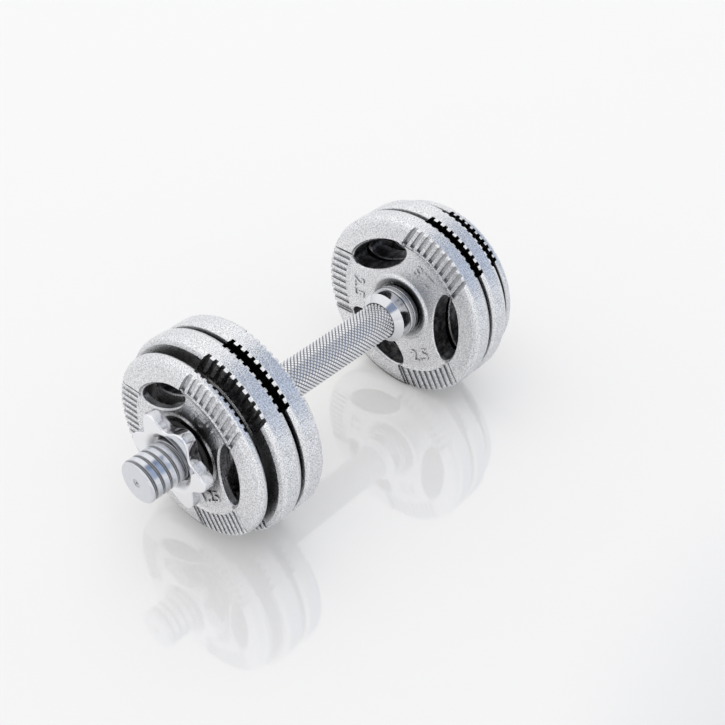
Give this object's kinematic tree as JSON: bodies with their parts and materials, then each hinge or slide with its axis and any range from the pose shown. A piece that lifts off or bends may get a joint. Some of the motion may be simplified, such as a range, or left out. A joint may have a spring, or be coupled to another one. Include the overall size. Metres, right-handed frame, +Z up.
{
  "type": "adjustable dumbbell",
  "caption": "Adjustable hand weight: knurled bar with collars and threaded ends, removable round plates with oval grip holes, held on by star nuts.",
  "frame": {"origin": "on the floor under the middle of the bar, at rest on the big plates' rims", "axes": "+X along the bar, +Y across it, +Z up"},
  "size_m": [0.35, 0.146, 0.146],
  "materials": {
    "steel_bar": "chromed steel, diamond knurl on the grip and turned thread on the ends",
    "turned_chrome": "bright smooth chrome on the collars and stop rings",
    "plate_chrome": "silver chrome over a fine-grained casting",
    "nut_chrome": "bright smooth chrome on the star nuts",
    "rubber_seal": "matt black rubber ring behind each nut"
  },
  "bodies": {
    "handle_bar": {"bar": "steel_bar", "collar_left": "turned_chrome", "collar_right": "turned_chrome", "stop_ring_left": "turned_chrome", "stop_ring_right": "turned_chrome"},
    "inner_plate_left": {"inner_plate_left": "plate_chrome"},
    "outer_plate_left": {"outer_plate_left": "plate_chrome"},
    "small_plate_left": {"small_plate_left": "plate_chrome"},
    "seal_left": {"nut_seal_left": "rubber_seal"},
    "nut_left": {"star_nut_left": "nut_chrome"},
    "inner_plate_right": {"inner_plate_right": "plate_chrome"},
    "outer_plate_right": {"outer_plate_right": "plate_chrome"},
    "small_plate_right": {"small_plate_right": "plate_chrome"},
    "seal_right": {"nut_seal_right": "rubber_seal"},
    "nut_right": {"star_nut_right": "nut_chrome"}
  },
  "joints": [
    {"name": "inner_plate_left_slide", "type": "slide", "parent": "handle_bar", "child": "inner_plate_left", "axis": [-1, 0, 0], "range_m": [0, 0.096]},
    {"name": "outer_plate_left_slide", "type": "slide", "parent": "inner_plate_left", "child": "outer_plate_left", "axis": [-1, 0, 0], "range_m": [0, 0.076]},
    {"name": "small_plate_left_slide", "type": "slide", "parent": "outer_plate_left", "child": "small_plate_left", "axis": [-1, 0, 0], "range_m": [0, 0.056]},
    {"name": "nut_left_travel", "type": "slide", "parent": "small_plate_left", "child": "seal_left", "axis": [-1, 0, 0], "range_m": [0, 0.0421]},
    {"name": "nut_left_turn", "type": "hinge", "parent": "seal_left", "child": "nut_left", "pos_m": [-0.1455, 0, 0.073], "axis": [-1, 0, 0], "range_deg": [0, 2520]},
    {"name": "inner_plate_right_slide", "type": "slide", "parent": "handle_bar", "child": "inner_plate_right", "axis": [1, 0, 0], "range_m": [0, 0.096]},
    {"name": "outer_plate_right_slide", "type": "slide", "parent": "inner_plate_right", "child": "outer_plate_right", "axis": [1, 0, 0], "range_m": [0, 0.076]},
    {"name": "small_plate_right_slide", "type": "slide", "parent": "outer_plate_right", "child": "small_plate_right", "axis": [1, 0, 0], "range_m": [0, 0.056]},
    {"name": "nut_right_travel", "type": "slide", "parent": "small_plate_right", "child": "seal_right", "axis": [1, 0, 0], "range_m": [0, 0.0421]},
    {"name": "nut_right_turn", "type": "hinge", "parent": "seal_right", "child": "nut_right", "pos_m": [0.1455, 0, 0.073], "axis": [1, 0, 0], "range_deg": [0, 2520]}
  ],
  "couplings": [
    {"joint": "nut_left_travel", "follows": "nut_left_turn", "m_per_rad": 0.00095493},
    {"joint": "nut_right_travel", "follows": "nut_right_turn", "m_per_rad": 0.00095493}
  ]
}
